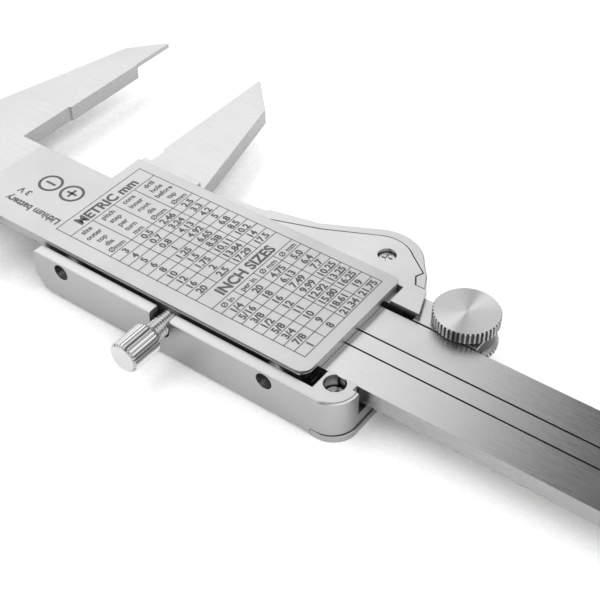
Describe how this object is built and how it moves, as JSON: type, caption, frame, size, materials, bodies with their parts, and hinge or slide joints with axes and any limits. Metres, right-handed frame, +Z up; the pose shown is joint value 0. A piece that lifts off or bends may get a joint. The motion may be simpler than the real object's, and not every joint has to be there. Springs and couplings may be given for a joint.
{
  "type": "electronic caliper",
  "caption": "Slide caliper with outside and inside jaws, a depth rod, a thumb roller, a lock screw and an electronic display side; a flat thread table plate covers the back.",
  "frame": {"origin": "centre of the part's bounding box in plan at rest, on the plane that its display side rests on", "axes": "+X along the beam from the fixed jaws to the free end, +Y from the beam towards the outside jaws' tips, +Z up, away from the display side"},
  "size_m": [0.2602, 0.0728, 0.0094],
  "materials": {
    "steel": "fine brushed, satin",
    "plate": "satin sheet with printed table",
    "case": "satin plated die casting",
    "screw": "bright",
    "black_screw": "blackened",
    "strip": "glass epoxy",
    "label": "printed film",
    "gib": "plain",
    "window": "clear",
    "display": "grey-green",
    "zebra": "soft",
    "board": "solder mask",
    "contact": "sprung",
    "cell": "nickel plated",
    "dark_plastic": "fine texture",
    "red_button": "smooth",
    "grey_button": "smooth",
    "nickel": "turned and plated"
  },
  "bodies": {
    "beam": {"beam_and_fixed_jaws": "steel", "scale_strip": "strip", "scale_label": "label", "end_stop": "steel", "end_stop_screws": "screw"},
    "slider": {"slider_body": "steel", "thread_table_plate": "plate", "depth_rod": "steel", "depth_rod_pin": "screw", "gib_strip": "gib", "gib_screws": "black_screw", "housing": "case", "corner_screw_piece": "screw", "flange_screw_piece": "screw", "front_cover": "case", "display_window": "window", "display_panel": "display", "zebra_connector": "zebra", "circuit_board": "board", "reader_plate": "board", "board_screws": "screw", "dome_contacts": "contact", "battery": "cell", "battery_contact_top": "contact", "battery_contact_side": "contact", "roller_bracket": "steel", "bracket_screw": "screw"},
    "thumb_roller": {"roller_upper_disc": "nickel", "roller_hub": "nickel", "roller_lower_disc": "nickel", "roller_axle": "screw"},
    "lock_screw": {"lock_screw": "nickel"},
    "battery_cover": {"battery_cover": "dark_plastic"},
    "button_power": {"button_power": "red_button"},
    "button_zero": {"button_zero": "grey_button"},
    "button_unit": {"button_unit": "grey_button"}
  },
  "joints": [
    {"name": "slider_slide", "type": "slide", "parent": "beam", "child": "slider", "axis": [1, 0, 0], "range_m": [-0.02268, 0.1273]},
    {"name": "roller_spin", "type": "hinge", "parent": "slider", "child": "thumb_roller", "pos_m": [-0.0248, 0.00125, 0.0057], "axis": [0, 0, 1], "continuous": true},
    {"name": "lock_screw_turn", "type": "hinge", "parent": "slider", "child": "lock_screw", "pos_m": [-0.0624, -0.0274, 0.0057], "axis": [0, -1, 0], "range_deg": [-360, 90]},
    {"name": "battery_cover_slide", "type": "slide", "parent": "slider", "child": "battery_cover", "axis": [0, 1, 0], "range_m": [0, 0.014]},
    {"name": "button_power_press", "type": "slide", "parent": "slider", "child": "button_power", "axis": [0, 0, 1], "range_m": [0, 0.0004], "stiffness_N_per_m": 1500, "springref_m": -0.0002},
    {"name": "button_zero_press", "type": "slide", "parent": "slider", "child": "button_zero", "axis": [0, 0, 1], "range_m": [0, 0.0004], "stiffness_N_per_m": 1500, "springref_m": -0.0002},
    {"name": "button_unit_press", "type": "slide", "parent": "slider", "child": "button_unit", "axis": [0, 0, 1], "range_m": [0, 0.0004], "stiffness_N_per_m": 1500, "springref_m": -0.0002}
  ],
  "couplings": [
    {"joint": "roller_spin", "follows": "slider_slide", "rad_per_m": -217.39}
  ]
}
